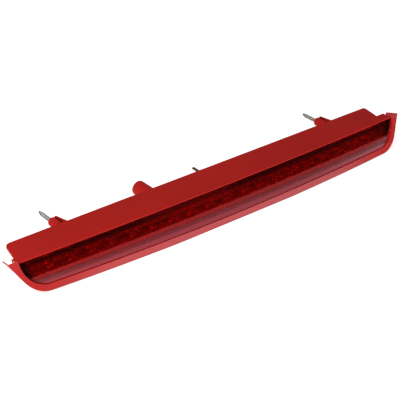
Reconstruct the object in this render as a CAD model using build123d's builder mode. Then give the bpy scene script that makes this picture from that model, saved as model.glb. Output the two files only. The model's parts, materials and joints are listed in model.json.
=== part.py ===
from build123d import *
import os

# A high-mounted third brake light: a long red lamp that bolts to a tailgate by two studs.
# Millimetres. X runs along the lamp, +Y points to the vehicle (the way the studs point),
# -Y is the lit side and +Z is up. The origin is midway between the two studs, on their
# axes, in the plane where the stud towers end.

# ---- Driving dimensions -------------------------------------------------------------

reach = 340.0                 # construction lines run this far each side, past both tips
through = 90.0                # long enough to pass through the whole lamp along Y

# Roof panel
roof_top = 5.0
roof_thickness = 3.0
roof_under = roof_top - roof_thickness
roof_back = -16.0
roof_back_half = 298.0
roof_strip_back = -47.0       # the front strip of the roof starts here
roof_strip_half = 304.6
roof_notch_half = 292.0       # the right-hand edge steps in to here behind the strip
roof_left_corner = 9.0
roof_right_corner = 4.0
strip_fall = 0.8              # how far the front strip slopes down towards the lens
lip_under = 3.2               # underside of the front strip, so the lip is thin

# Front face of the bezel: a leaning surface, bowed forwards in plan
tip_half = 320.0
face_top_centre = -65.65
face_top_bow = 5.65
rim_low = -35.45
rim_low_half = 295.0
face_low_centre = -90.5
face_low_bow = 11.3
rim_radius = 36.0
low_edge_drop = 1.25          # the lower edges hang this much lower in the middle

# Window in the bezel
window_half = 306.0
window_low = -28.5
window_radius = 32.0

# Bezel
bezel_skin = 2.2
bezel_depth = 12.0
bezel_skirt = 1.8
bezel_return = 1.6
wing_slope_start = -58.0
wing_slope = 0.25
wing_hook_depth = 20.0        # the outer wall of each wing runs this far back at its top
wing_hook_half = 309.5

# Outer lens
lens_gap = 0.9
lens_skin = 2.5
lens_leg = 1.7
lens_leg_depth = 12.7
lens_top = 1.8
# The lens's front line at each level: height, middle, and bow over lens_bow_half
lens_bow_half = 280.0
lens_lip = (3.0, -63.2, 4.4)
lens_foot = (-19.0, -73.0, 6.5)       # the upright part ends here
lens_ledge = (-22.0, -79.3, 8.0)
lens_step = (-25.4, -80.7, 8.4)
lens_sill = (-30.0, -88.2, 10.2)
lens_levels = (lens_lip, lens_foot, lens_ledge, lens_step, lens_sill)

# Housing tray
wall = 2.5
flange_front = 13.0
flange_back = 15.5
tray_wall_start = 9.2
tray_margin = -3.2            # outside of the tray's front wall, from the window's edge
tray_shelf_front = -49.5
tray_shelf_back = -47.0
rear_half = 286.0
rear_low = -23.8
rear_outer = -20.0            # outside of the back wall
rear_inner = rear_outer - wall
rib_pitch = 29.0
rib_thickness = 1.8

# Studs and their towers
stud_x = 221.0
stud_radius = 3.0
stud_root_radius = 3.4
stud_head_radius = 4.6
stud_head_back = -15.5
stud_head_front = -18.0
stud_shoulder = 24.0
stud_tip = 29.0
stud_dog_radius = 1.95
tower_radius = 6.0
gusset_thickness = 2.2
gusset_spread = 5.5
gusset_low = -6.0
gusset_tip = 6.4

# Locating pin
pin_z = -1.0
pin_radius = 2.0
pin_root_radius = 2.3
pin_boss_radius = 4.5
pin_boss_end = -14.0
pin_tip = 2.5

# Connector
plug_x = -82.8
plug_z = -5.5
plug_radius = 10.0
plug_bore = 8.0
plug_end = 11.0
plug_floor = -4.0
insert_front = -9.0
blade_offset = 3.5
blade_width = 2.8
blade_thickness = 0.8
blade_tip = 5.0

# Light units
cell_count = 19
cell_pitch = 29.5
cell_z = -9.5
bowl_width = 28.0
bowl_height = 18.0
bowl_mouth_radius = 6.0
bowl_throat = 9.0
bowl_wall = 1.2
reflector_front = -51.5
reflector_plate = 2.0
bowl_back = -41.5

# Circuit board
board_front = -39.0
board_thickness = 1.6
board_back = board_front + board_thickness
board_half = 282.0
board_low = -19.5
board_high = 0.5
led_size = 7.6
led_body_back = -40.0
led_body_front = -42.4
led_dome_radius = 2.5
led_pin_offset = 2.54
led_pin_size = 0.5
board_post_radius = 3.5
board_screw_radius = 1.4
end_screw_x = 291.0
end_screw_clearance = 3.2

# Inner optic
optic_front = 5.0             # behind the lens's outer surface
optic_skin = 2.0
mask_low = -8.6               # the mask is a dark roof from the optic back to the reflector
mask_thickness = 1.2
optic_low = -21.2
optic_high = -9.0
pillow_radius = 60.0
pillow_width = 28.0
pillow_height = 10.0

# Bezel screws
bezel_screw_spots = (-255.0, -155.0, -55.0, 55.0, 155.0, 255.0)
bezel_boss_radius = 2.45
bezel_screw_radius = 1.2
ear_width = 9.0

# Vent
vent_x = 110.0
vent_z = -13.0
vent_radius = 4.2

cell_spots = [(index - (cell_count - 1) / 2) * cell_pitch for index in range(cell_count)]
board_post_spots = [side * step * cell_pitch for side in (-1, 1) for step in (0.5, 4.5, 8.5)]


# ---- Shared construction ------------------------------------------------------------

def front_plane(y):
    """The XZ plane at y. What is drawn on it extrudes towards the lit side."""
    return Plane.XZ.offset(-y)


def bow_end(centre, bow, half):
    """Where a bowed line is at the construction reach, for a bow given over a half length."""
    return centre + bow * (reach / half) ** 2


def face_line(z, shift):
    """Middle and end of the bezel's front line at height z, moved back by shift."""
    fall = (roof_top - z) / (roof_top - rim_low)
    top_end = bow_end(face_top_centre, face_top_bow, tip_half)
    low_end = bow_end(face_low_centre, face_low_bow, rim_low_half)
    centre = face_top_centre + fall * (face_low_centre - face_top_centre)
    end = top_end + fall * (low_end - top_end)
    return z, centre + shift, end + shift


def lens_line(level, shift):
    """The lens's front line at one of its levels, moved back by shift."""
    z, centre, bow = level
    return z, centre + shift, bow_end(centre, bow, lens_bow_half) + shift


def bowed_region(z, centre, end):
    """What lies behind a bowed front line, at height z."""
    with BuildSketch(Plane.XY.offset(z)) as region:
        with BuildLine():
            ThreePointArc((-reach, end), (0, centre), (reach, end))
            Polyline((reach, end), (reach, 0), (-reach, 0), (-reach, end))
        make_face()
    return region.sketch


def bowed_body(lines):
    """The solid behind a surface ruled through front lines at several heights."""
    sections = [bowed_region(*line) for line in lines]
    with BuildPart() as body:
        loft(sections=sections, ruled=True)
    return body.part


def behind_face(shift):
    """Everything behind the bezel's face, starting shift behind it."""
    return bowed_body([face_line(-42.0, shift), face_line(10.0, shift)])


def behind_lens(shift):
    """Everything behind the lens's outer surface, starting shift behind it."""
    return bowed_body([lens_line(level, shift) for level in reversed(lens_levels)])


def behind_upright(shift):
    """Everything behind the upright part of the lens, carried on down."""
    top, low = lens_lip, lens_foot
    slope = (low[1] - top[1]) / (low[0] - top[0])
    z = -30.0
    deep = (z, low[1] + slope * (z - low[0]), low[2])
    return bowed_body([lens_line(deep, shift), lens_line(top, shift)])


def upright_y(x, z, shift):
    """The upright part of the lens, shift behind its surface, at x and z."""
    top, low = lens_lip, lens_foot
    fall = (z - top[0]) / (low[0] - top[0])
    centre = top[1] + fall * (low[1] - top[1])
    bow = top[2] + fall * (low[2] - top[2])
    return centre + bow * (x / lens_bow_half) ** 2 + shift


def u_region(y, top_half, low_half, low, radius, margin):
    """A wide U open at the top, with rounded lower corners, grown outwards by margin."""
    top = 20.0
    with BuildSketch(front_plane(y)) as region:
        with BuildLine():
            ThreePointArc((-low_half, low), (0, low - low_edge_drop), (low_half, low))
            Polyline((low_half, low), (top_half, top), (-top_half, top), (-low_half, low))
        make_face()
        fillet(region.vertices().sort_by(Axis.Y)[:2], radius=radius)
        if margin:
            offset(amount=margin, kind=Kind.INTERSECTION)
    return region.sketch


def window_region(y, margin):
    return u_region(y, window_half, window_half, window_low, window_radius, margin)


def rim_region(y, margin):
    side_slope = (tip_half - rim_low_half) / (roof_top - rim_low)
    top_half = rim_low_half + side_slope * (20.0 - rim_low)
    return u_region(y, top_half, rim_low_half, rim_low, rim_radius, margin)


def cut_back(region, front):
    """A front-view region carried forwards, with its front end trimmed by a surface."""
    with BuildPart() as solid:
        extrude(region, amount=through)
        add(front, mode=Mode.INTERSECT)
    return solid.part


def low_gap_z(x):
    """Height of the middle of the space between the window and the rim's lower edge."""
    middle = (window_low - bezel_return + rim_low + bezel_skirt) / 2
    return middle - low_edge_drop * (1 - (x / rim_low_half) ** 2)


def face_y(x, z, shift):
    """The bezel's face at x and z, moved back by shift."""
    line = face_line(z, shift)
    return line[1] + (line[2] - line[1]) * (x / reach) ** 2


face = behind_face(0)
bezel_screw_places = [(x, low_gap_z(x)) for x in bezel_screw_spots]
bezel_screw_seats = [face_y(x, z + 2.4, flange_back) for x, z in bezel_screw_places]


# ---- Bezel: the glossy red surround with its two wings --------------------------------

with BuildSketch(front_plane(0)) as bezel_space:
    add(rim_region(0, -bezel_skirt))
    add(window_region(0, bezel_return), mode=Mode.SUBTRACT)
    with Locations(*bezel_screw_places):
        Circle(bezel_boss_radius, mode=Mode.SUBTRACT)

with BuildSketch(front_plane(0)) as bezel_pilots:
    with Locations(*bezel_screw_places):
        Circle(bezel_screw_radius + 0.05)

bezel_hollow = cut_back(bezel_space.sketch, behind_face(bezel_skin))
bezel_pilot_holes = cut_back(bezel_pilots.sketch, behind_face(bezel_skin + 2))

with BuildPart() as bezel_back:
    add(behind_face(bezel_depth))
    with BuildSketch(front_plane(0)):
        Rectangle(2 * wing_hook_half, through)
    extrude(amount=through, mode=Mode.INTERSECT)
    add(behind_face(wing_hook_depth))

with BuildPart() as bezel:
    extrude(rim_region(0, 0), amount=through)
    add(face, mode=Mode.INTERSECT)
    add(bezel_hollow, mode=Mode.SUBTRACT)
    add(bezel_pilot_holes, mode=Mode.SUBTRACT)
    extrude(window_region(0, 0), amount=through, mode=Mode.SUBTRACT)
    add(bezel_back.part, mode=Mode.SUBTRACT)
    split(bisect_by=Plane.XY.offset(roof_top), keep=Keep.BOTTOM)
    with BuildSketch(Plane.YZ) as wing_top:
        drop = wing_slope * (0 - wing_slope_start)
        Polygon((wing_slope_start, roof_top), (0, roof_top), (0, roof_top - drop),
                align=None)
    extrude(amount=reach, both=True, mode=Mode.SUBTRACT)
bezel.part.label = "bezel"


# ---- Outer lens ------------------------------------------------------------------------

lens_hollow = cut_back(window_region(0, -lens_gap - lens_leg), behind_lens(lens_skin))

with BuildPart() as outer_lens:
    extrude(window_region(0, -lens_gap), amount=through)
    add(behind_lens(0), mode=Mode.INTERSECT)
    add(lens_hollow, mode=Mode.SUBTRACT)
    add(behind_face(lens_leg_depth), mode=Mode.SUBTRACT)
    split(bisect_by=Plane.XY.offset(lens_top), keep=Keep.BOTTOM)
outer_lens.part.label = "outer_lens"


# ---- Seal bead between the lens's leg and the tray -------------------------------------

with BuildSketch(front_plane(0)) as seal_ring:
    add(window_region(0, -lens_gap - lens_leg - 0.05))
    add(window_region(0, tray_margin + 0.05), mode=Mode.SUBTRACT)

with BuildPart() as lens_seal:
    add(cut_back(seal_ring.sketch, behind_face(tray_wall_start + 0.4)))
    add(behind_face(lens_leg_depth - 0.1), mode=Mode.SUBTRACT)
    split(bisect_by=Plane.XY.offset(lens_top), keep=Keep.BOTTOM)
lens_seal.part.label = "lens_seal"


# ---- Housing: tray, roof panel, stud towers and connector shroud in one moulding --------

with BuildPart() as roof:
    with BuildSketch(Plane.XY.offset(roof_under)):
        with BuildLine():
            Polyline((-roof_strip_half, -reach), (-roof_strip_half, roof_strip_back),
                     (-roof_back_half, roof_back), (roof_back_half, roof_back),
                     (roof_notch_half, roof_strip_back), (roof_strip_half, roof_strip_back),
                     (roof_strip_half, -reach), (-roof_strip_half, -reach))
        make_face()
    extrude(amount=roof_thickness)
    back_corners = roof.edges().filter_by(Axis.Z).sort_by(Axis.Y)[-2:].sort_by(Axis.X)
    fillet(back_corners[0], radius=roof_left_corner)
    fillet(back_corners[1], radius=roof_right_corner)
    add(face, mode=Mode.INTERSECT)
    rear_edges = roof.edges().group_by(Axis.Z)[-1].filter_by(GeomType.LINE)
    chamfer(rear_edges.filter_by(Axis.X).sort_by(Axis.Y)[-1:], length=0.6)
    with BuildSketch(Plane.YZ) as strip_wedge:
        Polygon((roof_strip_back, roof_top), (-reach / 4, roof_top),
                (-reach / 4, roof_top - 2 * strip_fall), align=None)
    extrude(amount=reach, both=True, mode=Mode.SUBTRACT)
    with BuildSketch(Plane.YZ) as lip_hollow:
        Polygon((roof_strip_back - 6, roof_under), (roof_strip_back - 9, lip_under),
                (-reach / 4, lip_under), (-reach / 4, roof_under), align=None)
    extrude(amount=reach, both=True, mode=Mode.SUBTRACT)

with BuildPart() as gusset:
    with BuildSketch(Plane.XY.offset(gusset_low)):
        foot = tower_radius + gusset_spread
        Polygon((tower_radius - gusset_thickness, 0), (tower_radius, 0),
                (foot, roof_back - 0.5), (foot - gusset_thickness, roof_back - 0.5), align=None)
    extrude(amount=gusset_tip - gusset_low)
    with BuildSketch(Plane.YZ):
        Polygon((0, gusset_low), (0, gusset_tip), (roof_back - 0.5, roof_top - 0.1),
                (roof_back - 0.5, gusset_low), align=None)
    extrude(amount=3 * tower_radius, mode=Mode.INTERSECT)

with BuildSketch(front_plane(0)) as ear_shapes:
    for x, z in bezel_screw_places:
        with Locations((x, z + 2.6)):
            Rectangle(ear_width, 11.8)
    with Locations(*bezel_screw_places):
        Circle(bezel_screw_radius + 0.2, mode=Mode.SUBTRACT)

with BuildPart() as flange:
    add(cut_back(window_region(0, bezel_return), behind_face(flange_front)))
    add(cut_back(ear_shapes.sketch, behind_face(flange_front)))
    add(behind_face(flange_back), mode=Mode.SUBTRACT)
    for (x, z), seat in zip(bezel_screw_places, bezel_screw_seats):
        with BuildSketch(front_plane(seat)):
            with Locations((x, z)):
                Circle(2.7)
                Circle(bezel_screw_radius + 0.2, mode=Mode.SUBTRACT)
        extrude(amount=3)

tray_front = cut_back(window_region(tray_shelf_back, tray_margin), behind_face(tray_wall_start))

with BuildPart() as housing:
    # Tray: a wide front part that carries the lens, and a narrower rear part
    add(tray_front)
    with BuildSketch(front_plane(rear_outer)):
        with Locations((0, (rear_low + roof_top) / 2)):
            RectangleRounded(2 * rear_half, roof_top - rear_low, radius=2)
    extrude(amount=tray_shelf_front + 2 - rear_outer, dir=(0, 1, 0))
    add(flange.part)
    split(bisect_by=Plane.XY.offset(roof_under), keep=Keep.BOTTOM)

    # Inside of the tray
    extrude(window_region(tray_shelf_front, tray_margin - wall), amount=through,
            mode=Mode.SUBTRACT)
    with BuildSketch(front_plane(rear_inner)):
        with Locations((0, (rear_low + wall + 20) / 2)):
            Rectangle(2 * (rear_half - wall), 20 - rear_low - wall)
    extrude(amount=rear_inner - tray_shelf_front + 5, mode=Mode.SUBTRACT)
    add(roof.part)

    # Stiffening ribs down the back wall, under the roof's overhang
    for index in range(-9, 10):
        x = (index + 0.5) * rib_pitch
        near_tower = min(abs(x - stud_x), abs(x + stud_x)) < 12
        near_fitting = abs(x - plug_x) < 14 or abs(x - vent_x) < 8
        if not near_tower and not near_fitting:
            with BuildSketch(front_plane(rear_outer + 2.8)):
                with Locations((x, (rear_low + 2 + roof_under) / 2)):
                    Rectangle(rib_thickness, roof_under - rear_low - 2)
            extrude(amount=3.2)

    # Stud towers, each with a gusset on its right
    for x in (-stud_x, stud_x):
        with BuildSketch(front_plane(0)):
            with Locations((x, 0)):
                Circle(tower_radius)
        extrude(amount=-roof_back + 0.4)
        with BuildSketch(front_plane(roof_back + 0.2)):
            with Locations((x, -2.5)):
                Rectangle(2 * tower_radius, 9)
        extrude(amount=roof_back - rear_outer + 0.5)
        with Locations((x, 0, 0)):
            add(gusset.part)
        with BuildSketch(front_plane(0)):
            with Locations((x, 0)):
                Circle(stud_root_radius)
        extrude(amount=-stud_head_back, mode=Mode.SUBTRACT)
        with BuildSketch(front_plane(stud_head_back)):
            with Locations((x, 0)):
                Circle(stud_head_radius)
        extrude(amount=stud_head_back - stud_head_front, mode=Mode.SUBTRACT)

    # Boss for the locating pin
    with BuildSketch(front_plane(pin_boss_end)):
        with Locations((0, pin_z)):
            Circle(pin_boss_radius)
    extrude(amount=pin_boss_end - rear_outer + 0.5)
    with BuildSketch(front_plane(pin_boss_end)):
        with Locations((0, pin_z)):
            Circle(pin_root_radius)
    extrude(amount=pin_boss_end - rear_outer + 1, mode=Mode.SUBTRACT)

    # Connector shroud, open to the rear, with a key inside
    with BuildSketch(front_plane(plug_end)):
        with Locations((plug_x, plug_z)):
            Circle(plug_radius)
    extrude(amount=plug_end - rear_outer + 0.5)
    fillet(housing.faces().sort_by(Axis.Y)[-1].edges(), radius=0.6)
    with BuildSketch(front_plane(plug_end)):
        with Locations((plug_x, plug_z)):
            Circle(plug_bore)
    extrude(amount=plug_end - insert_front, mode=Mode.SUBTRACT)
    with BuildSketch(front_plane(insert_front)):
        for side in (-1, 1):
            with Locations((plug_x + side * blade_offset, plug_z)):
                Rectangle(blade_width + 0.6, blade_thickness + 0.6)
    extrude(amount=insert_front - rear_inner, mode=Mode.SUBTRACT)
    with BuildSketch(front_plane(plug_end - 2)):
        with Locations((plug_x, plug_z - plug_bore + 0.4)):
            Rectangle(2, 1.6)
    extrude(amount=plug_end - 2 - plug_floor - 0.2)

    # Posts for the circuit board
    with BuildSketch(front_plane(rear_inner + 0.5)):
        with Locations(*[(x, cell_z) for x in board_post_spots]):
            Circle(board_post_radius)
    extrude(amount=rear_inner + 0.5 - board_back)
    with BuildSketch(front_plane(board_back + 10)):
        with Locations(*[(x, cell_z) for x in board_post_spots]):
            Circle(board_screw_radius + 0.05)
    extrude(amount=10, mode=Mode.SUBTRACT)

    # Blind bosses behind the shelf for the reflector's end screws
    for side in (-1, 1):
        with BuildSketch(front_plane(-40)):
            with Locations((side * end_screw_x, cell_z)):
                Circle(3.2)
        extrude(amount=-40 - tray_shelf_back + 0.5)
        with BuildSketch(front_plane(-42)):
            with Locations((side * end_screw_x, cell_z)):
                Circle(board_screw_radius + 0.05)
        extrude(amount=-42 - tray_shelf_front, mode=Mode.SUBTRACT)

    # Vent nipple
    with BuildSketch(front_plane(rear_outer + 3.5)):
        with Locations((vent_x, vent_z)):
            Circle(3)
    extrude(amount=3.8)
    with BuildSketch(front_plane(rear_outer + 3.5)):
        with Locations((vent_x, vent_z)):
            Circle(1.6)
    extrude(amount=3.5 + wall, mode=Mode.SUBTRACT)
housing.part.label = "housing"


# ---- Vent cap ---------------------------------------------------------------------------

with BuildPart() as vent_cap:
    with BuildSketch(front_plane(rear_outer + 5)):
        with Locations((vent_x, vent_z)):
            Circle(vent_radius)
    extrude(amount=5)
    fillet(vent_cap.edges().sort_by(Axis.Y)[-1], radius=0.8)
    with BuildSketch(front_plane(rear_outer + 3.6)):
        with Locations((vent_x, vent_z)):
            Circle(3.05)
    extrude(amount=3.6, mode=Mode.SUBTRACT)
vent_cap.part.label = "vent_cap"


# ---- Studs ------------------------------------------------------------------------------

def stud(x):
    """An M6 stud moulded into its tower: a buried head, a thread and a dog point."""
    with BuildPart() as piece:
        with BuildSketch(Plane.XY):
            with BuildLine():
                Polyline((x, stud_head_front), (x + stud_head_radius, stud_head_front),
                         (x + stud_head_radius, stud_head_back),
                         (x + stud_root_radius, stud_head_back), (x + stud_root_radius, 0),
                         (x + stud_radius, 0), (x + stud_radius, stud_shoulder),
                         (x + stud_dog_radius, stud_shoulder + 1),
                         (x + stud_dog_radius, stud_tip - 0.6),
                         (x + stud_dog_radius - 0.6, stud_tip), (x, stud_tip),
                         (x, stud_head_front))
            make_face()
        revolve(axis=Axis((x, 0, 0), (0, 1, 0)))
    return piece.part


stud_left = stud(-stud_x)
stud_left.label = "stud_left"
stud_right = stud(stud_x)
stud_right.label = "stud_right"


# ---- Locating pin -----------------------------------------------------------------------

with BuildPart() as locating_pin:
    with BuildSketch(Plane.XY.offset(pin_z)):
        with BuildLine():
            Polyline((0, rear_outer - 0.9), (pin_root_radius, rear_outer - 0.9),
                     (pin_root_radius, pin_boss_end), (pin_radius, pin_boss_end),
                     (pin_radius, pin_tip - 1), (pin_radius - 0.8, pin_tip), (0, pin_tip),
                     (0, rear_outer - 0.9))
        make_face()
    revolve(axis=Axis((0, 0, pin_z), (0, 1, 0)))
locating_pin.part.label = "locating_pin"


# ---- Connector insert and terminal blades -----------------------------------------------

with BuildPart() as connector_insert:
    with BuildSketch(front_plane(plug_floor)):
        with Locations((plug_x, plug_z)):
            Circle(plug_bore - 0.05)
        for side in (-1, 1):
            with Locations((plug_x + side * blade_offset, plug_z)):
                Rectangle(blade_width, blade_thickness, mode=Mode.SUBTRACT)
    extrude(amount=plug_floor - insert_front)
connector_insert.part.label = "connector_insert"

with BuildPart() as terminal_blades:
    for side in (-1, 1):
        with BuildSketch(front_plane(blade_tip)):
            with Locations((plug_x + side * blade_offset, plug_z)):
                Rectangle(blade_width, blade_thickness)
        extrude(amount=blade_tip - board_front + 0.8)
    tips = terminal_blades.faces().group_by(Axis.Y)[-1].edges().filter_by(Axis.X)
    chamfer(tips, length=0.3)
terminal_blades.part.label = "terminal_blades"


# ---- Reflector: a plate with one tapered bowl for each light unit -----------------------

def bowl(growth):
    """One reflector bowl at the origin of X, as a solid; growth adds to each side."""
    mouth = front_plane(reflector_front)
    throat = front_plane(bowl_back)
    with BuildSketch(mouth) as mouth_shape:
        with Locations((0, cell_z)):
            RectangleRounded(bowl_width + 2 * growth, bowl_height + 2 * growth,
                             radius=bowl_mouth_radius + growth)
    with BuildSketch(throat) as throat_shape:
        with Locations((0, cell_z)):
            RectangleRounded(bowl_throat + 2 * growth, bowl_throat + 2 * growth,
                             radius=2 + growth)
    with BuildPart() as solid:
        loft(sections=[mouth_shape.sketch, throat_shape.sketch])
    return solid.part


bowl_shell = bowl(bowl_wall)
bowl_space = bowl(0)

with BuildPart() as reflector:
    extrude(window_region(reflector_front + reflector_plate, tray_margin - wall - 0.5),
            amount=reflector_plate)
    split(bisect_by=Plane.XY.offset(roof_under - 0.5), keep=Keep.BOTTOM)
    with Locations(*[(x, 0, 0) for x in cell_spots]):
        add(bowl_shell)
    split(bisect_by=front_plane(reflector_front), keep=Keep.BOTTOM)
    with Locations(*[(x, 0, 0) for x in cell_spots]):
        add(bowl_space, mode=Mode.SUBTRACT)
    with BuildSketch(front_plane(0)):
        with Locations((-end_screw_x, cell_z), (end_screw_x, cell_z)):
            Circle(board_screw_radius + 0.2)
    extrude(amount=through, mode=Mode.SUBTRACT)
reflector.part.label = "reflector"


# ---- Inner optic: a clear strip with a pillow in front of each light unit ----------------

lean = 24.0


def pillow():
    """A shallow lens pad, facing the lit side, standing on the optic's front surface."""
    rise = pillow_radius - (pillow_radius ** 2 - (pillow_width / 2) ** 2) ** 0.5
    with BuildPart() as pad:
        with BuildSketch(front_plane(0.8)):
            RectangleRounded(pillow_width, pillow_height, radius=3)
        extrude(amount=5)
        with Locations((0, pillow_radius - rise, 0)):
            Sphere(pillow_radius, mode=Mode.INTERSECT)
    return pad.part


optic_pad = pillow()
optic_middle = (optic_low + optic_high) / 2

with BuildPart() as inner_optic:
    add(cut_back(window_region(0, tray_margin - wall - 0.5), behind_upright(optic_front)))
    add(behind_upright(optic_front + optic_skin), mode=Mode.SUBTRACT)
    split(bisect_by=Plane.XY.offset(optic_high), keep=Keep.BOTTOM)
    split(bisect_by=Plane.XY.offset(optic_low), keep=Keep.TOP)
    for x in cell_spots:
        y = upright_y(x, optic_middle, optic_front)
        with Locations(Location((x, y, optic_middle), (-lean, 0, 0))):
            add(optic_pad)
    for x in board_post_spots:
        leg_start = upright_y(x, optic_low, optic_front + 0.7)
        with BuildSketch(front_plane(reflector_front)):
            with Locations((x, optic_low + 0.5)):
                Rectangle(3, 1.4)
        extrude(amount=reflector_front - leg_start)
inner_optic.part.label = "inner_optic"


# ---- Mask: a dark roof between the optic and the reflector -------------------------------

with BuildPart() as inner_mask:
    add(cut_back(window_region(0, tray_margin - wall - 0.5), behind_upright(optic_front + 0.2)))
    split(bisect_by=front_plane(reflector_front - 0.2), keep=Keep.TOP)
    split(bisect_by=Plane.XY.offset(mask_low + mask_thickness), keep=Keep.BOTTOM)
    split(bisect_by=Plane.XY.offset(mask_low), keep=Keep.TOP)
    with BuildSketch(front_plane(reflector_front)):
        with Locations((-end_screw_x, cell_z), (end_screw_x, cell_z)):
            Circle(end_screw_clearance)
    extrude(amount=3, mode=Mode.SUBTRACT)
inner_mask.part.label = "inner_mask"


# ---- Circuit board and what it carries ---------------------------------------------------

led_pin_spots = [(x + a * led_pin_offset, cell_z + b * led_pin_offset)
                 for x in cell_spots for a in (-1, 1) for b in (-1, 1)]

with BuildPart() as circuit_board:
    with BuildSketch(front_plane(board_back)):
        with Locations((0, (board_low + board_high) / 2)):
            RectangleRounded(2 * board_half, board_high - board_low, radius=1.5)
        with Locations(*[(x, cell_z) for x in board_post_spots]):
            Circle(board_screw_radius + 0.2, mode=Mode.SUBTRACT)
        with Locations(*led_pin_spots):
            Rectangle(led_pin_size, led_pin_size, mode=Mode.SUBTRACT)
        for side in (-1, 1):
            with Locations((plug_x + side * blade_offset, plug_z)):
                Rectangle(blade_width, blade_thickness, mode=Mode.SUBTRACT)
    extrude(amount=board_thickness)
circuit_board.part.label = "circuit_board"

with BuildPart() as leds:
    with BuildSketch(front_plane(led_body_back)):
        with Locations(*[(x, cell_z) for x in cell_spots]):
            RectangleRounded(led_size, led_size, radius=0.8)
    extrude(amount=led_body_back - led_body_front)
    with Locations(*[(x, led_body_front, cell_z) for x in cell_spots]):
        Sphere(led_dome_radius)
leds.part.label = "leds"

with BuildPart() as led_pins:
    with BuildSketch(front_plane(board_back + 1)):
        with Locations(*led_pin_spots):
            Rectangle(led_pin_size, led_pin_size)
    extrude(amount=board_back + 1 - led_body_back)
led_pins.part.label = "led_pins"

with BuildPart() as resistors:
    with BuildSketch(front_plane(board_back + 0.6)):
        with Locations(*[(x + cell_pitch / 2 + 7, cell_z - 5.5) for x in cell_spots[:-1:2]]):
            Rectangle(6.4, 3.2)
    extrude(amount=0.6)
resistors.part.label = "resistors"

with BuildPart() as diodes:
    with BuildSketch(front_plane(board_back + 2.3)):
        with Locations((plug_x - 20, -14), (plug_x + 9, -14)):
            Rectangle(4.4, 2.6)
    extrude(amount=2.3, taper=-4)
diodes.part.label = "diodes"

with BuildPart() as capacitor:
    with BuildSketch(front_plane(board_back + 10)):
        with Locations((plug_x + 39, -6)):
            Circle(4)
    extrude(amount=10)
    fillet(capacitor.edges().sort_by(Axis.Y)[-1], radius=0.6)
capacitor.part.label = "capacitor"

with BuildPart() as regulator:
    with BuildSketch(front_plane(board_back + 2.4)):
        with Locations((plug_x - 20, -4)):
            Rectangle(6.6, 6.2)
    extrude(amount=2.4)
    with BuildSketch(front_plane(board_back + 0.6)):
        with Locations((plug_x - 20, -0.2)):
            Rectangle(5.4, 2)
        with Locations((plug_x - 22.3, -8), (plug_x - 17.7, -8)):
            Rectangle(0.8, 2.2)
    extrude(amount=0.6)
regulator.part.label = "regulator"


# ---- Screws -----------------------------------------------------------------------------

def screw(x, z, seat, direction, head_radius, head_height, shank_radius, shank_length):
    """A pan-head screw with its head on seat; direction +1 drives it towards +Y."""
    with BuildPart() as piece:
        with BuildSketch(Plane.XY.offset(z)):
            with BuildLine():
                end = seat + direction * shank_length
                head = seat - direction * head_height
                crown = head + direction * head_height * 0.4
                Polyline((x, head), (x + head_radius * 0.6, head), (x + head_radius, crown),
                         (x + head_radius, seat), (x + shank_radius, seat),
                         (x + shank_radius, end - direction * shank_radius), (x, end),
                         (x, head))
            make_face()
        revolve(axis=Axis((x, 0, z), (0, 1, 0)))
    return piece.part


def screw_set(label, screws):
    with BuildPart() as group:
        for piece in screws:
            add(piece)
    group.part.label = label
    return group.part


board_screws = screw_set("board_screws", [
    screw(x, cell_z, board_front, 1, 2.8, 1.9, board_screw_radius, 10.0)
    for x in board_post_spots])
reflector_screws = screw_set("reflector_screws", [
    screw(side * end_screw_x, cell_z, reflector_front, 1, 2.6, 1.8, board_screw_radius, 9.0)
    for side in (-1, 1)])
bezel_screws = screw_set("bezel_screws", [
    screw(x, z, seat, -1, 2.4, 1.7, bezel_screw_radius, 10.0)
    for (x, z), seat in zip(bezel_screw_places, bezel_screw_seats)])


# ---- Export -----------------------------------------------------------------------------

os.makedirs("parts", exist_ok=True)
pieces = [housing.part, bezel.part, outer_lens.part, lens_seal.part, inner_optic.part,
          inner_mask.part, reflector.part, circuit_board.part, leds.part, led_pins.part,
          resistors.part, diodes.part, capacitor.part, regulator.part, terminal_blades.part,
          connector_insert.part, board_screws, reflector_screws, bezel_screws,
          stud_left, stud_right, locating_pin.part, vent_cap.part]
for piece in pieces:
    export_step(piece, f"parts/{piece.label}.step")
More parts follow.
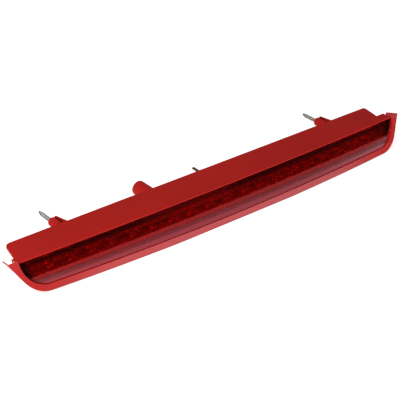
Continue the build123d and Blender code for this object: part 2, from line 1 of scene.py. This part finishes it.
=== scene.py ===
import bpy
import bmesh
import json
import math
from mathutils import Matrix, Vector


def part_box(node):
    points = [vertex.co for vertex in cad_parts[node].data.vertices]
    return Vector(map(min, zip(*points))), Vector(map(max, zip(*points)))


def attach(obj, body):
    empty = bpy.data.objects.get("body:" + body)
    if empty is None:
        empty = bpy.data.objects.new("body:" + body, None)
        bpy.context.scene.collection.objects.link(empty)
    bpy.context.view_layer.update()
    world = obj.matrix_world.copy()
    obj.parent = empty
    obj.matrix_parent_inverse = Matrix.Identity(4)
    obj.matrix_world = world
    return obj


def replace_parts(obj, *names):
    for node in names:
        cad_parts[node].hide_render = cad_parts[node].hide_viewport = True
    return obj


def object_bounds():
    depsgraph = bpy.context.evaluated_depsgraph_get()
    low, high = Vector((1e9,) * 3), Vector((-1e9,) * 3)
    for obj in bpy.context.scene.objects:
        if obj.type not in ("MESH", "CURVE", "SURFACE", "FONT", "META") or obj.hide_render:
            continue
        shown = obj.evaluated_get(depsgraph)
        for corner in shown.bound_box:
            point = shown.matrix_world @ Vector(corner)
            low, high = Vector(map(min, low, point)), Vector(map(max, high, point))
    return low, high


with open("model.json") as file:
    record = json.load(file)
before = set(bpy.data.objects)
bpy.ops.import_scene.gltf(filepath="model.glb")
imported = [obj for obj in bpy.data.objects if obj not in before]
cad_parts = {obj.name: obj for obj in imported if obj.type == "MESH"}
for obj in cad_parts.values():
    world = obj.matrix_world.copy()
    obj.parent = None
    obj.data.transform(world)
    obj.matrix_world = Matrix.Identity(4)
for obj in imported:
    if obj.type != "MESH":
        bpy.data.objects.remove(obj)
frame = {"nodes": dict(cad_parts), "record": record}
cad_low, cad_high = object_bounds()
nodes = frame["nodes"]
record = frame["record"]
scene = bpy.context.scene
scene.view_settings.view_transform = "Standard"
scene.view_settings.look = "None"

mount_at = {m["name"]: Vector(m["pos_m"]) for m in record["mounts"]}
slot_of = {s["node"]: s["material_slot"] for s in record["subparts"]}

MM = 0.001
BODY = "root"

# The lens, in metres. Below FOOT it turns into a frosted ledge, whose upright part starts at
# LEDGE, and below STEP it is the sill. From X = END_FROM out to END_TO a painted shade darkens
# its tint.
FOOT = -0.0190
LEDGE = -0.0222
STEP = -0.0254
END_FROM, END_TO = 0.290, 0.302

# The M6 studs, in millimetres. Y is 0 where the towers end, and the thread runs from
# THREAD_START to the dog point.
STUD_SEGMENTS = 40
STUD_COLLAR, STUD_COLLAR_LENGTH = 4.6, 2.5
STUD_ROOT, STUD_CORE, STUD_DOG = 3.4, 2.97, 1.95
DOG_LENGTH = 5.0
THREAD_START = 1.2
THREAD_PITCH = 1.0
THREAD_DEPTH = 0.61
THREAD_STEP = 0.1             # between two rings along the thread

# The screws, in millimetres: head height, head radius, shank radius, and the sign of Y in
# which the shank points
SCREWS = {
    "board_screws": (1.9, 2.8, 1.4, 1),
    "reflector_screws": (1.8, 2.6, 1.4, 1),
    "bezel_screws": (1.7, 2.4, 1.2, -1),
}
SCREW_SEGMENTS = 36
SCREW_PITCH = 1.3
SCREW_THREAD = 0.25
SCREW_STEP = 0.25
SCREW_TIP = 0.25

# The flutes on the optic, in millimetres: FLUTES of them under each light unit, between two
# heights above the optic's lower edge
PINS_PER_LIGHT = 4
FLUTES = 6
FLUTE_PITCH = 1.7
FLUTE_RISE = 0.7
FLUTE_FROM, FLUTE_TO = 0.5, 8.0

# The view and the light, in metres and watts
CAMERA_PLACE = Vector((-0.9282, -1.1743, 0.8062))
CAMERA_AIM = Vector((-0.0302, -0.0506, -0.0152))
CAMERA_LENS, CAMERA_SENSOR = 116.4, 36.0        # millimetres
FLOOR_SIZE = 30.0
FLOOR_GAP = 0.0003
FLOOR_GLOW = 0.55
WORLD_LIGHT = 0.36


# ---- Materials ------------------------------------------------------------------------

def set_inputs(shader, **values):
    """Sockets set by name: base_color=(...) sets Base Color, and a colour gets its alpha."""
    for key, value in values.items():
        name = key.replace("_", " ").title().replace("Ior", "IOR")
        if isinstance(value, tuple) and len(value) == 3:
            value = (*value, 1.0)
        shader.inputs[name].default_value = value


class Mat:
    """A small helper round one node tree. Textures are in object space, which is metres."""

    def __init__(self, name, **values):
        self.material = bpy.data.materials.new(name)
        self.material.use_nodes = True
        self.tree = self.material.node_tree
        self.nodes = self.tree.nodes
        self.links = self.tree.links
        self.shader = self.nodes["Principled BSDF"]
        self.output = self.nodes["Material Output"]
        self.space = self.nodes.new("ShaderNodeTexCoord").outputs["Object"]
        set_inputs(self.shader, **values)

    @classmethod
    def of(cls, material):
        """A helper round a material that was made earlier."""
        m = cls.__new__(cls)
        m.material, m.tree = material, material.node_tree
        m.nodes, m.links = m.tree.nodes, m.tree.links
        m.shader = m.nodes["Principled BSDF"]
        m.output = m.nodes["Material Output"]
        m.space = m.nodes["Texture Coordinate"].outputs["Object"]
        return m

    def link(self, a, b):
        self.links.new(a, b)

    def stretch(self, scale):
        """The texture space scaled, so that a pattern is drawn out where scale is small."""
        node = self.nodes.new("ShaderNodeMapping")
        node.inputs["Scale"].default_value = scale
        self.link(self.space, node.inputs["Vector"])
        return node.outputs["Vector"]

    def noise(self, size_mm, detail=3.0, rough=0.5, space=None):
        node = self.nodes.new("ShaderNodeTexNoise")
        node.inputs["Scale"].default_value = 1.0 / (size_mm * MM)
        node.inputs["Detail"].default_value = detail
        node.inputs["Roughness"].default_value = rough
        self.link(space or self.space, node.inputs["Vector"])
        return node.outputs["Fac"]

    def scale(self, value, low, high, to_low, to_high):
        """Value from low to high becomes to_low to to_high, and stays there outside."""
        node = self.nodes.new("ShaderNodeMapRange")
        node.inputs["From Min"].default_value = low
        node.inputs["From Max"].default_value = high
        node.inputs["To Min"].default_value = to_low
        node.inputs["To Max"].default_value = to_high
        self.link(value, node.inputs["Value"])
        return node.outputs["Result"]

    def math(self, operation, a, b=0.0):
        node = self.nodes.new("ShaderNodeMath")
        node.operation = operation
        for socket, value in zip(node.inputs, (a, b)):
            if isinstance(value, (int, float)):
                socket.default_value = value
            else:
                self.link(value, socket)
        return node.outputs["Value"]

    def mix(self, fac, a, b):
        node = self.nodes.new("ShaderNodeMix")
        node.data_type = "RGBA"
        self.link(fac, node.inputs["Factor"])
        for socket, value in ((node.inputs[6], a), (node.inputs[7], b)):
            if isinstance(value, tuple):
                socket.default_value = (*value, 1.0)
            else:
                self.link(value, socket)
        return node.outputs[2]

    def edges(self, radius_mm):
        """Nearly 0 on flat faces and up to 1 along sharp edges."""
        soft = self.nodes.new("ShaderNodeBevel")
        soft.samples = 4
        soft.inputs["Radius"].default_value = radius_mm * MM
        flat = self.nodes.new("ShaderNodeNewGeometry")
        dot = self.nodes.new("ShaderNodeVectorMath")
        dot.operation = "DOT_PRODUCT"
        self.link(soft.outputs["Normal"], dot.inputs[0])
        self.link(flat.outputs["Normal"], dot.inputs[1])
        return self.scale(dot.outputs["Value"], 0.99, 0.8, 0.0, 1.0)

    def crevices(self, reach_mm):
        """0 in the open and up to 1 in narrow gaps and inside corners."""
        node = self.nodes.new("ShaderNodeAmbientOcclusion")
        node.samples = 4
        node.inputs["Distance"].default_value = reach_mm * MM
        return self.scale(node.outputs["AO"], 0.25, 0.75, 1.0, 0.0)

    def bump(self, height, distance_mm, strength=1.0, after=None):
        node = self.nodes.new("ShaderNodeBump")
        node.inputs["Strength"].default_value = strength
        node.inputs["Distance"].default_value = distance_mm * MM
        self.link(height, node.inputs["Height"])
        if after is not None:
            self.link(after, node.inputs["Normal"])
        return node.outputs["Normal"]

    def finish(self, colour=None, roughness=None, normal=None):
        if colour is not None:
            self.link(colour, self.shader.inputs["Base Color"])
        if roughness is not None:
            self.link(roughness, self.shader.inputs["Roughness"])
        if normal is not None:
            self.link(normal, self.shader.inputs["Normal"])
        return self.material


def shade(colour, factor):
    """The same colour, darker or lighter."""
    return tuple(c * factor for c in colour)


def moulded(name, colour, rough, grain_mm=0.5, grain_depth=0.02, wear_and_highlight=0.25, edge_light=1.35,
            gap_shade=0.0, wear_and_highlight_mm=0.5, **values):
    """Moulded plastic: fine grain, faint flow marks, dusty patches, edges paler from wear and a
    painted highlight, and painted shade in narrow gaps."""
    m = Mat(name, **values)
    flow = m.noise(60.0, 2.0, 0.5, m.stretch((0.35, 1.0, 1.0)))
    dust = m.noise(9.0, 5.0, 0.65)
    grain = m.noise(grain_mm, 2.0, 0.6)
    body = m.mix(m.scale(flow, 0.3, 0.7, 0.0, 1.0), shade(colour, 0.93), shade(colour, 1.06))
    # Edges paler: partly wear, partly a painted highlight.
    wear_highlight_and_shade = m.mix(m.math("MULTIPLY", m.edges(wear_and_highlight_mm), wear_and_highlight), body, shade(colour, edge_light))
    if gap_shade:
        # Painted shade: darker in narrow gaps and inside corners.
        wear_highlight_and_shade = m.mix(m.math("MULTIPLY", m.crevices(3.0), gap_shade), wear_highlight_and_shade, shade(colour, 0.08))
    roughness = m.scale(m.math("ADD", dust, m.math("MULTIPLY", grain, 0.4)), 0.4, 1.0,
                        rough - 0.06, rough + 0.07)
    return m.finish(wear_highlight_and_shade, roughness, m.bump(grain, grain_depth))


def metal(name, colour, rough, streak=(1.0, 1.0, 1.0), stain=0.5):
    """Plated metal: streaks from the wire or the press, and slight dull spots."""
    m = Mat(name, metallic=1.0)
    streaks = m.noise(0.8, 3.0, 0.6, m.stretch(streak))
    spots = m.noise(3.0, 4.0, 0.6)
    base = m.mix(m.scale(spots, 0.45, 0.7, 0.0, stain), colour, shade(colour, 0.55))
    rubbed = m.mix(m.math("MULTIPLY", m.edges(0.2), 0.6), base, shade(colour, 1.2))
    roughness = m.scale(m.math("ADD", streaks, spots), 0.7, 1.3, rough - 0.08, rough + 0.12)
    return m.finish(rubbed, roughness, m.bump(streaks, 0.01))


def see_through(name, tint, lamp_tint, rough):
    """Clear or tinted acrylic. Lamps shine through it by a stand-in for shadow rays."""
    m = Mat(name, transmission_weight=1.0, ior=1.49, base_color=tint)
    swirl = m.noise(14.0, 3.0, 0.5)
    roughness = m.scale(swirl, 0.3, 0.7, rough, rough + 0.03)
    surface = m.finish(None, roughness, m.bump(swirl, 0.03))
    clear = m.nodes.new("ShaderNodeBsdfTransparent")
    clear.inputs["Color"].default_value = (*lamp_tint, 1.0)
    path = m.nodes.new("ShaderNodeLightPath")
    choose = m.nodes.new("ShaderNodeMixShader")
    m.link(path.outputs["Is Shadow Ray"], choose.inputs["Fac"])
    m.link(m.shader.outputs["BSDF"], choose.inputs[1])
    m.link(clear.outputs["BSDF"], choose.inputs[2])
    m.link(choose.outputs["Shader"], m.output.inputs["Surface"])
    return surface


def board_material():
    """Green solder mask over copper tracks, with a fine weave of glass cloth under it."""
    m = Mat("board_green", specular_ior_level=0.5)
    mask = (0.012, 0.085, 0.035)
    track = (0.03, 0.17, 0.06)
    lines = m.nodes.new("ShaderNodeTexBrick")
    lines.inputs["Scale"].default_value = 140.0
    lines.inputs["Mortar Size"].default_value = 0.16
    lines.inputs["Brick Width"].default_value = 1.7
    lines.inputs["Row Height"].default_value = 0.42
    turn = m.nodes.new("ShaderNodeMapping")
    turn.inputs["Rotation"].default_value = (math.pi / 2, 0.0, 0.0)
    m.link(m.space, turn.inputs["Vector"])
    m.link(turn.outputs["Vector"], lines.inputs["Vector"])
    weave = m.noise(0.4, 1.0, 0.5)
    colour = m.mix(lines.outputs["Fac"], mask, track)
    roughness = m.scale(weave, 0.3, 0.7, 0.25, 0.42)
    return m.finish(colour, roughness, m.bump(lines.outputs["Fac"], 0.03))


def lens_material():
    """Clear red plastic above, with a painted shade darkening its two ends. On the welded ledge
    and sill it is frosted on the inside, so it turns cloudy and shows its own red body under the
    gloss."""
    clear_red, end_shade_red = (0.80, 0.005, 0.006), (0.16, 0.001, 0.001)
    ledge_red, upright_red = (0.115, 0.007, 0.009), (0.20, 0.012, 0.016)
    sill_red, lamp_red = (0.32, 0.038, 0.050), (0.84, 0.08, 0.09)
    material = see_through("red_lens", clear_red, lamp_red, 0.01)
    m = Mat.of(material)
    axes = m.nodes.new("ShaderNodeSeparateXYZ")
    m.link(m.space, axes.inputs["Vector"])
    height = axes.outputs["Z"]
    ripple = m.scale(m.noise(4.0, 3.0, 0.6), 0.3, 0.7, -0.0008, 0.0008)
    frosted = m.scale(m.math("ADD", height, ripple), FOOT, LEDGE, 0.0, 1.0)
    sill = m.scale(height, STEP + 0.0001, STEP - 0.0006, 0.0, 1.0)
    upright = m.scale(height, LEDGE + 0.0002, LEDGE - 0.0008, 0.0, 1.0)
    body = m.mix(sill, m.mix(upright, ledge_red, upright_red), sill_red)
    # Painted shade: the tint darkens towards both ends of the lens.
    side = m.math("ABSOLUTE", axes.outputs["X"])
    clear = m.mix(m.scale(side, END_FROM, END_TO, 0.0, 1.0), clear_red, end_shade_red)
    m.link(m.mix(frosted, clear, body), m.shader.inputs["Base Color"])
    m.link(m.scale(frosted, 0.0, 1.0, 1.0, 0.15), m.shader.inputs["Transmission Weight"])
    m.link(m.scale(frosted, 0.0, 1.0, 0.5, 0.32), m.shader.inputs["Specular IOR Level"])
    polish = m.shader.inputs["Roughness"].links[0].from_socket
    m.link(m.math("ADD", polish, m.scale(frosted, 0.0, 1.0, 0.0, 0.26)),
           m.shader.inputs["Roughness"])
    return material


materials = {
    # red_moulding: a strong painted highlight along its edges, and painted shade in its gaps.
    "red_moulding": moulded("red_moulding", (0.345, 0.011, 0.008), 0.58, 0.45, 0.025,
                            wear_and_highlight=0.6, edge_light=2.4, gap_shade=0.9, wear_and_highlight_mm=1.3,
                            specular_ior_level=0.05),
    # mask_dark is a dark sheet under the roof's lip, where the lens shows only shade: painted
    # shade.
    "mask_dark": moulded("mask_dark", (0.10, 0.004, 0.004), 0.6, 0.6, 0.02,
                         specular_ior_level=0.15),
    # red_gloss: painted shade in its gaps.
    "red_gloss": moulded("red_gloss", (0.47, 0.013, 0.010), 0.20, 3.0, 0.006,
                         gap_shade=0.95, specular_ior_level=0.50),
    "red_lens": lens_material(),
    "seal_rubber": moulded("seal_rubber", (0.02, 0.02, 0.02), 0.75, 0.8, 0.05),
    "clear_optic": see_through("clear_optic", (0.92, 0.30, 0.27), (0.9, 0.5, 0.47), 0.02),
    "bright_reflector": metal("bright_reflector", (0.80, 0.78, 0.77), 0.16, stain=0.2),
    "board_green": board_material(),
    "led_red": moulded("led_red", (0.55, 0.03, 0.02), 0.22, 1.0, 0.01),
    "tinned_lead": metal("tinned_lead", (0.72, 0.71, 0.68), 0.30),
    "ceramic_black": moulded("ceramic_black", (0.025, 0.025, 0.028), 0.5, 0.3, 0.02),
    "can_aluminium": metal("can_aluminium", (0.80, 0.80, 0.82), 0.28, (1.0, 0.1, 1.0)),
    "connector_black": moulded("connector_black", (0.022, 0.022, 0.025), 0.42, 0.35, 0.02),
    "screw_zinc": metal("screw_zinc", (0.63, 0.64, 0.66), 0.28),
    "stud_zinc": metal("stud_zinc", (0.40, 0.385, 0.35), 0.28, (1.0, 0.2, 1.0)),
    "pin_steel": metal("pin_steel", (0.17, 0.085, 0.07), 0.36, (1.0, 0.2, 1.0)),
    "vent_black": moulded("vent_black", (0.02, 0.02, 0.021), 0.7, 0.5, 0.03),
}
for node_name, obj in nodes.items():
    obj.data.materials.clear()
    obj.data.materials.append(materials[slot_of[node_name]])


# ---- Detailed pieces --------------------------------------------------------------------

def add_piece(name, points, faces, node, smooth_quads=False):
    """One piece on the body, in node's material."""
    mesh = bpy.data.meshes.new(name)
    mesh.from_pydata(points, [], faces)
    mesh.validate()
    work = bmesh.new()
    work.from_mesh(mesh)
    bmesh.ops.recalc_face_normals(work, faces=work.faces)
    for f in work.faces:
        f.smooth = smooth_quads and len(f.verts) == 4
    work.to_mesh(mesh)
    work.free()
    obj = bpy.data.objects.new(name, mesh)
    scene.collection.objects.link(obj)
    mesh.materials.append(materials[slot_of[node]])
    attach(obj, BODY)
    return obj


def round_section(y, radius, angle):
    return radius


def turned(name, centre, rows, node, segments):
    """A closed piece turned about the Y line through centre. rows are (y, radius, section) in
    millimetres, and section(y, radius, angle) gives the radius all round the piece."""
    points = []
    for y, radius, section in rows:
        for i in range(segments):
            angle = 2 * math.pi * i / segments
            r = section(y, radius, angle)
            points.append((centre.x + r * MM * math.cos(angle), y * MM,
                           centre.z + r * MM * math.sin(angle)))
    faces = []
    for k in range(len(rows) - 1):
        a, b = k * segments, (k + 1) * segments
        for i in range(segments):
            j = (i + 1) % segments
            faces.append((a + i, a + j, b + j, b + i))
    last = (len(rows) - 1) * segments
    faces.append(tuple(reversed(range(segments))))
    faces.append(tuple(range(last, last + segments)))
    return add_piece(name, points, faces, node, smooth_quads=True)


def threaded_stud(name, node):
    """An M6 stud: moulded-in root, rolled thread with a run-out, and a dog point. The node
    has the same name as its mount."""
    low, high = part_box(node)
    start, tip = low.y / MM, high.y / MM
    thread_end = tip - DOG_LENGTH

    def section(y, radius, angle):
        if not THREAD_START < y < thread_end:
            return radius
        fade = min(1.0, (y - THREAD_START) / 1.5, (thread_end - y) / 1.0)
        phase = (y / THREAD_PITCH - angle / (2 * math.pi)) % 1.0
        return radius - THREAD_DEPTH * fade * (1 - abs(2 * phase - 1)) ** 0.9

    profile = [(start, STUD_COLLAR), (start + STUD_COLLAR_LENGTH, STUD_COLLAR),
               (start + STUD_COLLAR_LENGTH, STUD_ROOT), (-0.02, STUD_ROOT), (0.0, STUD_CORE)]
    steps = int((thread_end - THREAD_STEP) / THREAD_STEP)
    profile += [(THREAD_STEP + k * THREAD_STEP, STUD_CORE) for k in range(steps)]
    profile += [(thread_end, STUD_CORE), (thread_end + 0.9, STUD_DOG + 0.05),
                (thread_end + 1.0, STUD_DOG), (tip - 0.6, STUD_DOG),
                (tip - 0.45, STUD_DOG - 0.06), (tip - 0.08, STUD_DOG - 0.5),
                (tip, STUD_DOG - 0.65)]
    rows = [(y, radius, section) for y, radius in profile]
    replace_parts(turned(name, mount_at[node], rows, node, STUD_SEGMENTS), node)


for stud in ("stud_left", "stud_right"):
    threaded_stud(f"{stud}_threaded", stud)


def split_solids(node):
    """The separate solids of a node, each as (low corner, high corner), by shared points."""
    mesh = nodes[node].data
    work = bmesh.new()
    work.from_mesh(mesh)
    bmesh.ops.remove_doubles(work, verts=work.verts, dist=1e-6)
    left, found = set(work.verts), []
    while left:
        stack, group = [left.pop()], []
        while stack:
            v = stack.pop()
            group.append(v.co.copy())
            for e in v.link_edges:
                other = e.other_vert(v)
                if other in left:
                    left.remove(other)
                    stack.append(other)
        low = Vector([min(p[k] for p in group) for k in range(3)])
        high = Vector([max(p[k] for p in group) for k in range(3)])
        found.append((low, high))
    work.free()
    return sorted(found, key=lambda pair: pair[0].x)


def lobed_section(y, radius, angle):
    """A six-lobed recess."""
    return radius * (1 + 0.16 * math.cos(6 * angle))


def screw_section(y, radius, angle):
    """A coarse thread with narrow crests."""
    phase = (y / SCREW_PITCH - angle / (2 * math.pi)) % 1.0
    return radius - SCREW_THREAD * (1 - max(0.0, 1 - abs(2 * phase - 1) * 1.6))


def pan_screw(name, node, low, high, head_height, head_radius, shank_radius, towards):
    """A pan-head screw with a six-lobed recess and a coarse thread, between two corners."""
    head = (low.y if towards > 0 else high.y) / MM
    tip = (high.y if towards > 0 else low.y) / MM
    seat = head + towards * head_height
    drive, depth = head_radius * 0.42, head_height * 0.6
    recess = [(head + towards * depth, drive * 0.4), (head + towards * depth, drive),
              (head + towards * 0.05, drive), (head, drive * 1.1)]
    crown = [(head, head_radius * 0.62), (head + towards * head_height * 0.12, head_radius * 0.8),
             (head + towards * head_height * 0.45, head_radius * 0.97),
             (seat - towards * 0.15, head_radius), (seat, head_radius - 0.1),
             (seat, shank_radius)]
    steps = int(abs(tip - seat) / SCREW_STEP) - 1
    shank = [(seat + towards * SCREW_STEP * (k + 1), shank_radius) for k in range(steps)]
    rows = ([(y, radius, lobed_section) for y, radius in recess]
            + [(y, radius, round_section) for y, radius in crown]
            + [(y, radius, screw_section) for y, radius in shank]
            + [(tip, SCREW_TIP, round_section)])
    return turned(name, (low + high) / 2, rows, node, SCREW_SEGMENTS)


for node, sizes in SCREWS.items():
    group = [pan_screw(f"{node}_{index + 1}", node, low, high, *sizes)
             for index, (low, high) in enumerate(split_solids(node))]
    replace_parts(group[0], node)


def flutes(name, node):
    """Small upright flutes on the optic, in a row under each light unit."""
    optic = nodes[node]
    low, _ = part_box(node)
    heights = (low.z + FLUTE_FROM * MM, low.z + FLUTE_TO * MM)
    half, sunk = FLUTE_PITCH * MM * 0.36, 0.1 * MM
    points, faces = [], []
    pins = [(pin_low.x + pin_high.x) / 2 for pin_low, pin_high in split_solids("led_pins")]
    for first in range(0, len(pins), PINS_PER_LIGHT):
        middle = sum(pins[first:first + PINS_PER_LIGHT]) / PINS_PER_LIGHT
        for k in range(FLUTES):
            x = middle + (k - (FLUTES - 1) / 2) * FLUTE_PITCH * MM
            hits = [optic.ray_cast(Vector((x, -0.2, z)), Vector((0, 1, 0))) for z in heights]
            if not all(hit for hit, *_ in hits):
                continue
            start = len(points)
            for _, place, *_ in hits:
                points += [(place.x - half, place.y + sunk, place.z),
                           (place.x, place.y - FLUTE_RISE * MM, place.z),
                           (place.x + half, place.y + sunk, place.z)]
            faces += [tuple(start + i for i in f) for f in
                      ((0, 2, 1), (3, 4, 5), (0, 1, 4, 3), (1, 2, 5, 4), (2, 0, 3, 5))]
    add_piece(name, points, faces, node)


flutes("optic_flutes", "inner_optic")


# ---- Camera, floor and light ------------------------------------------------------------

def stand(name, data, location, direction, axis):
    """A new object at location, with its axis turned along direction."""
    obj = bpy.data.objects.new(name, data)
    scene.collection.objects.link(obj)
    obj.location = location
    obj.rotation_mode = "QUATERNION"
    obj.rotation_quaternion = Vector(direction).to_track_quat(axis, "Y")
    return obj


def plane(name, centre, normal, width, height, material):
    """A flat rectangle of the stage, facing normal."""
    mesh = bpy.data.meshes.new(name)
    x, y = width / 2, height / 2
    mesh.from_pydata([(-x, -y, 0), (x, -y, 0), (x, y, 0), (-x, y, 0)], [], [(0, 1, 2, 3)])
    mesh.materials.append(material)
    obj = stand(name, mesh, centre, normal, "Z")
    return obj


def softbox(name, location, target, size, power, colour=(1.0, 1.0, 1.0)):
    """A rectangular area light, power in watts."""
    data = bpy.data.lights.new(name, "AREA")
    data.color = colour
    data.shape = "RECTANGLE"
    data.size, data.size_y = size
    data.energy = power
    stand(name, data, location, Vector(target) - Vector(location), "-Z")


camera_data = bpy.data.cameras.new("camera")
camera_data.lens = CAMERA_LENS
camera_data.sensor_width = CAMERA_SENSOR
camera_data.clip_end = 50.0
scene.camera = stand("camera", camera_data, CAMERA_PLACE, CAMERA_AIM - CAMERA_PLACE, "-Z")

# A floor that glows a little stays white in the lamp's own soft shadow.
paint = Mat("floor_paint", base_color=(0.86, 0.86, 0.86), roughness=0.8,
            emission_color=(1.0, 1.0, 1.0), emission_strength=FLOOR_GLOW)
paint.finish(paint.mix(paint.noise(300.0, 2.0), (0.84, 0.84, 0.84), (0.88, 0.88, 0.88)))
plane("floor", (0, 0, cad_low.z - FLOOR_GAP), (0, 0, 1), FLOOR_SIZE, FLOOR_SIZE,
      paint.material)

# A dark card that only the lens and the gloss see, so that they mirror it and not the sky
flock = Mat("card_flock", base_color=(0.01, 0.01, 0.01), roughness=1.0)
flock.finish(flock.mix(flock.noise(40.0), (0.008, 0.008, 0.008), (0.014, 0.014, 0.014)))
card = plane("dark_card", (0.75, -1.35, 0.05), (-0.4, 1.0, 0.0), 3.2, 0.47, flock.material)
card.visible_camera = False
card.visible_shadow = False
card.visible_diffuse = False
card.visible_transmission = False

world = bpy.data.worlds.new("world")
scene.world = world
world.use_nodes = True
sky = world.node_tree.nodes["Background"]
sky.inputs["Color"].default_value = (1.0, 1.0, 1.0, 1.0)
sky.inputs["Strength"].default_value = WORLD_LIGHT

softbox("key", (-0.95, -0.10, 0.72), (-0.25, 0, 0), (0.8, 0.8), 12.0)
softbox("front", (2.05, -1.6, 1.32), (0.15, 0, 0), (3.8, 1.8), 39.0, (0.82, 0.90, 1.0))
